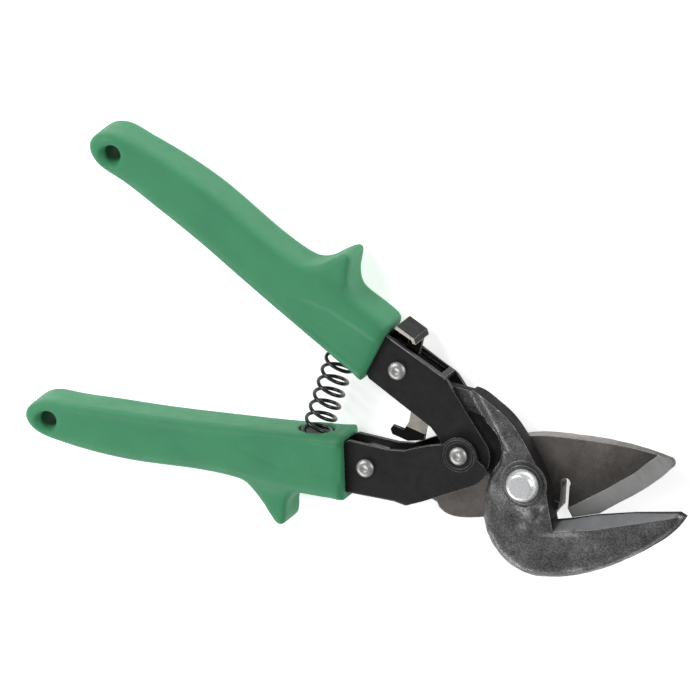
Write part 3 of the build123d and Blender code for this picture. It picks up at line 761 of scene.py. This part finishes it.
def ring(node, name, inner, material, edge=0.15):
    """Washer or sleeve with broken edges, inside its CAD box."""
    lo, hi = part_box(node)
    x, y, _ = centre(node)
    outer = (hi.x - lo.x) / 2 / MM
    low, top = lo.z / MM, hi.z / MM
    profile = [
        (inner, low),
        (outer - edge, low),
        (outer - edge * 0.3, low + edge * 0.3),
        (outer, low + edge),
        (outer, top - edge),
        (outer - edge * 0.3, top - edge * 0.3),
        (outer - edge, top),
        (inner, top),
    ]
    lathe(name, node, profile, x, y, [material])


def nut():
    bm = welded("pivot_nut")
    soften(bm, 0.3, 2, 30)
    obj = adopt("pivot_nut_hex", finish_bmesh(bm, "pivot_nut_hex"), [ZINC], ["pivot_nut"], 40)
    add_weighted_normals(obj)


def peg(node, name):
    bm = welded(node)
    soften(bm, 0.3, 2, 40)
    obj = adopt(name, finish_bmesh(bm, name), [PEG], [node], 40)
    add_weighted_normals(obj)


def pressed_ring():
    """Raised ring that the joggle's press tool leaves round the handle rivet."""
    x, y, _ = centre("handle_rivet")
    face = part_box("lower_frame")[1].z / MM
    profile = [
        (4.4, face - 0.20),
        (5.8, face - 0.20),
        (5.75, face + 0.02),
        (5.50, face + 0.22),
        (4.70, face + 0.22),
        (4.45, face + 0.02),
    ]
    lathe("lower_frame_ring", "lower_frame", profile, x, y, [BLACK])


# ------------------------------------------------------------ grips

def voxel_mesh(node, size):
    """A CAD node remeshed into even small quads."""
    temp = bpy.data.objects.new("temp", frame["nodes"][node].data.copy())
    bpy.context.scene.collection.objects.link(temp)
    mod = temp.modifiers.new("remesh", "REMESH")
    mod.mode = "VOXEL"
    mod.voxel_size = size * MM
    evaluated = temp.evaluated_get(bpy.context.evaluated_depsgraph_get())
    mesh = bpy.data.meshes.new_from_object(evaluated)
    bpy.data.objects.remove(temp)
    mesh.materials.clear()
    return mesh


def relax(co, edges, share, rounds):
    """Move points towards their neighbours' mean, each by its own share."""
    count = np.zeros(len(co))
    np.add.at(count, edges[:, 0], 1)
    np.add.at(count, edges[:, 1], 1)
    for _ in range(rounds):
        total = np.zeros_like(co)
        np.add.at(total, edges[:, 0], co[edges[:, 1]])
        np.add.at(total, edges[:, 1], co[edges[:, 0]])
        co = co + share[:, None] * (total / count[:, None] - co)
    return co


def smooth_step(value, start, end):
    t = np.clip((value - start) / (end - start), 0, 1)
    return t * t * (3 - 2 * t)


PANEL_INNER = ((-104.0, 27.5), (-92.0, 21.5), (-76.0, 16.6), (-63.0, 13.0))
PANEL_OUTER = ((-104.0, 29.0), (-92.7, 30.7), (-82.0, 31.2), (-70.0, 29.0), (-59.0, 26.4))
HOLE = {1: (-169.8, 50.0), -1: (-162.8, 48.2)}
HOLE_R = 3.2
HORN_FOOT_Y = (37.5, 41.0)
HORN_REAR_X = (-100, -94)
HORN_FRONT_X = (-72, -66)
MOUTH_Y = 13
MOUTH_LEAN = -0.30
CORE_LINE = ((-152, -60), (45.5, 21))
CORE_HALF_Z = 6.2
CORE_HALF_Y = 8.8
POCKET_R = 7.0
END_X = (-172, -160)
END_HOLD = 0.30
END_BACK_HOLD = 0.14
GRIP_VOXEL = 0.6
GRIP_ROUNDS = 55
PANEL_DEPTH = 0.6
SHARP_LIP = 0.5
SOFT_LIP = 3.6
LIP_TO = (-0.42, -0.91)
SPRING_X = -75.2


def grip(node, side, name):
    """Moulded grip: rounded section, softened horn, sunk side panels, rolled mouths on its hang hole."""
    mesh = voxel_mesh(node, GRIP_VOXEL)
    co = np.zeros(len(mesh.vertices) * 3)
    mesh.vertices.foreach_get("co", co)
    co = co.reshape(-1, 3) / MM
    edges = np.zeros(len(mesh.edges) * 2, dtype=np.int64)
    mesh.edges.foreach_get("vertices", edges)
    edges = edges.reshape(-1, 2)
    x, y, z = co[:, 0], co[:, 1] * side, co[:, 2] - SHEAR_Z
    lo, hi = co.min(0), co.max(0)
    horn = smooth_step(y, *HORN_FOOT_Y) * smooth_step(x, *HORN_REAR_X) * (1 - smooth_step(x, *HORN_FRONT_X))
    front = smooth_step(x + (y - MOUTH_Y) * MOUTH_LEAN, -68.0, -64.0)
    from_hole = np.hypot(x - HOLE[side][0], y - HOLE[side][1])
    at_hole = 1 - smooth_step(from_hole, HOLE_R + 0.4, HOLE_R + 3.0)
    core_y = np.interp(x, *CORE_LINE)
    lining = (np.abs(z) < CORE_HALF_Z) & (x > CORE_LINE[0][0]) & (np.abs(y - core_y) < CORE_HALF_Y)
    pocket = np.hypot(x - SPRING_X, z) < POCKET_R
    keep = lining | (pocket & (y < 24))
    at_end = (END_HOLD + END_BACK_HOLD * (z < 0)) * (1 - smooth_step(x, *END_X))
    share = np.where(keep, 0.0, 0.5 - 0.26 * horn - 0.42 * front - 0.45 * at_hole - at_end)
    co = relax(co, edges, np.clip(share, 0.0, 0.6), GRIP_ROUNDS)
    x, y, z = co[:, 0], co[:, 1] * side, co[:, 2] - SHEAR_Z
    inner = np.interp(x, *zip(*PANEL_INNER))
    outer = np.interp(x, *zip(*PANEL_OUTER))
    within = smooth_step(y - inner, 0.0, 1.6) * (1 - smooth_step(y - outer, -1.6, 0.0))
    strip = 1 - smooth_step(x + (y - MOUTH_Y) * MOUTH_LEAN, -64.6, -63.4)
    fade = smooth_step(x, -104.0, -84.0)
    face = smooth_step(np.abs(z), 7.6, 8.8)
    co[:, 2] -= np.sign(z) * PANEL_DEPTH * within * strip * fade * face
    off_x, off_y = co[:, 0] - HOLE[side][0], co[:, 1] - side * HOLE[side][1]
    from_hole = np.hypot(off_x, off_y)
    toward = (off_x * LIP_TO[0] + off_y * LIP_TO[1]) / np.maximum(from_hole, 0.1)
    reach = SHARP_LIP + (SOFT_LIP - SHARP_LIP) * smooth_step(toward, -0.5, 0.9)
    lip = np.clip(1 - (from_hole - HOLE_R + 0.2) / reach, 0, 1)
    fall = reach * (1 - np.sqrt(1 - np.minimum(lip, 0.97) ** 2))
    near_face = (co[:, 2] - SHEAR_Z > 5.0) & (from_hole > HOLE_R - 0.5)
    co[:, 2] -= fall * near_face
    around = np.clip(1 - np.abs(from_hole - HOLE_R) / 3.5, 0, 1) * 0.4
    co = relax(co, edges, around, 8)
    co = np.clip(co, lo, hi)
    mesh.vertices.foreach_set("co", (co * MM).ravel())
    mesh.update()
    adopt(name, mesh, [GREEN], [node], 70)


# ------------------------------------------------------------ return spring

SPRING_TURNS = 8
WIRE_R = 0.65
WIRE_SIDES = 10
STEPS_PER_TURN = 40


def spring():
    """Round wire wound between the two pegs."""
    lo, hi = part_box("return_spring")
    x, _, z = centre("return_spring")
    wire = WIRE_R
    radius = (hi.x - lo.x) / 2 / MM - wire
    low, high = lo.y / MM + wire, hi.y / MM - wire
    around, steps = WIRE_SIDES, SPRING_TURNS * STEPS_PER_TURN
    bm = bmesh.new()
    rings = []
    for k in range(steps + 1):
        t = k / steps
        turn = 2 * pi * SPRING_TURNS * t
        out = Vector((cos(turn), 0, sin(turn)))
        sweep = radius * 2 * pi * SPRING_TURNS
        along = Vector((-sin(turn) * sweep, high - low, cos(turn) * sweep)).normalized()
        side = along.cross(out).normalized()
        middle = Vector((x, low + (high - low) * t, z)) + out * radius
        ring_verts = []
        for j in range(around):
            a = 2 * pi * j / around
            place = middle + out * (wire * cos(a)) + side * (wire * sin(a))
            ring_verts.append(bm.verts.new(place * MM))
        rings.append(ring_verts)
    for a, b in zip(rings, rings[1:]):
        for j in range(around):
            n = (j + 1) % around
            bm.faces.new((a[j], a[n], b[n], b[j]))
    bm.faces.new(rings[0])
    bm.faces.new(rings[-1])
    mesh = finish_bmesh(bm, "return_spring_coil")
    obj = adopt("return_spring_coil", mesh, [WIRE], ["return_spring"], 50, body="")
    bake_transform(obj)


# ------------------------------------------------------------ stage

FLOOR_HALF = 3.0
FLOOR_GLOW = 0.60


def floor():
    """Plain pale floor, lit a little from itself so that it stays white."""
    bm = bmesh.new()
    bmesh.ops.create_grid(bm, x_segments=8, y_segments=8, size=FLOOR_HALF)
    mesh = bpy.data.meshes.new("floor")
    bm.to_mesh(mesh)
    bm.free()
    look = Look("pale_floor", Specular_IOR_Level=0.1, Emission_Strength=FLOOR_GLOW)
    look.shader.inputs["Emission Color"].default_value = (1, 1, 1, 1)
    colour = look.ramp(look.noise(180.0, 3, 0.5), (0.3, 0.93), (0.7, 0.96))
    rough = look.ramp(look.noise(40.0, 3, 0.5), (0.3, 0.75), (0.7, 0.85))
    mesh.materials.append(look.use(colour, rough, look.bump(look.noise(2.0, 2, 0.5), 0.01, 0.1)))
    obj = bpy.data.objects.new("floor", mesh)
    bpy.context.scene.collection.objects.link(obj)


def area_light(name, place, aim, size, power):
    data = bpy.data.lights.new(name, "AREA")
    data.shape = "RECTANGLE"
    data.size, data.size_y = size
    data.energy = power
    obj = bpy.data.objects.new(name, data)
    obj.location = place
    obj.visible_camera = False
    obj.rotation_euler = (Vector(aim) - Vector(place)).to_track_quat("-Z", "Y").to_euler()
    bpy.context.scene.collection.objects.link(obj)


LIGHTS = [
    # name, place, aim, size, power
    ("key", (-0.75, 0.35, 0.70), (-0.05, 0, 0), (0.6, 0.4), 7),
    ("low_side", (-0.35, -0.95, 0.50), (0, 0, 0.01), (0.9, 0.25), 7),
    ("high_side", (0.80, 0.62, 0.50), (0, 0, 0.01), (0.5, 0.20), 5),
]
SKY = 0.22


def lights():
    """Soft boxes round the object under a dim white sky."""
    world = bpy.data.worlds.new("studio")
    world.use_nodes = True
    world.node_tree.nodes["Background"].inputs["Color"].default_value = (1, 1, 1, 1)
    world.node_tree.nodes["Background"].inputs["Strength"].default_value = SKY
    bpy.context.scene.world = world
    for light in LIGHTS:
        area_light(*light)


CAMERA_TARGET = Vector((-70.7, 20.4, 19.4))
CAMERA_DISTANCE = 9.0
CAMERA_FIELD = 0.233
SENSOR = 36


def camera():
    """Long lens high above the tool, leaning towards its jaws and its upper handle."""
    right = Vector((0.8896, 0.2850, -0.3571))
    up = Vector((-0.3930, 0.8759, -0.2799))
    back = right.cross(up).normalized()
    up = back.cross(right).normalized()
    right.normalize()
    data = bpy.data.cameras.new("camera")
    data.sensor_width = SENSOR
    data.lens = SENSOR * CAMERA_DISTANCE / CAMERA_FIELD
    data.clip_start, data.clip_end = 0.5, 30
    obj = bpy.data.objects.new("camera", data)
    place = CAMERA_TARGET * MM + back * CAMERA_DISTANCE
    obj.matrix_world = Matrix((
        (right.x, up.x, back.x, place.x),
        (right.y, up.y, back.y, place.y),
        (right.z, up.z, back.z, place.z),
        (0, 0, 0, 1),
    ))
    bpy.context.scene.collection.objects.link(obj)
    bpy.context.scene.camera = obj
    bpy.context.scene.view_settings.view_transform = "Standard"


# ------------------------------------------------------------ build

front_blade()
rear_blade()
handle_frame("upper_frame", 1)
handle_frame("lower_frame", -1)
pressed_ring()
latch()
leaf_spring()
for rivet_node in ("handle_rivet", "upper_tang_rivet", "lower_tang_rivet"):
    rivet(rivet_node, rivet_node + "_peened")
bolt()
nut()
ring("bolt_washer", "bolt_washer_ring", BOLT_SHANK_R, WASHER, 0.3)
ring("nut_washer", "nut_washer_ring", BOLT_SHANK_R, DULL, 0.2)
ring("handle_rivet_sleeve", "handle_sleeve_ring", HANDLE_SHANK_R, DULL)
ring("handle_washer_front", "handle_shim_front", HANDLE_SHANK_R, DULL, 0.04)
ring("handle_washer_back", "handle_shim_back", HANDLE_SHANK_R, DULL, 0.04)
ring("upper_tang_spacer", "upper_tang_spacer_ring", TANG_SHANK_R, DULL)
ring("lower_tang_spacer", "lower_tang_spacer_ring", TANG_SHANK_R, DULL)
grip("upper_grip", 1, "upper_grip_moulding")
grip("lower_grip", -1, "lower_grip_moulding")
peg("upper_spring_peg", "upper_peg_plug")
peg("lower_spring_peg", "lower_peg_plug")
spring()
floor()
lights()
camera()
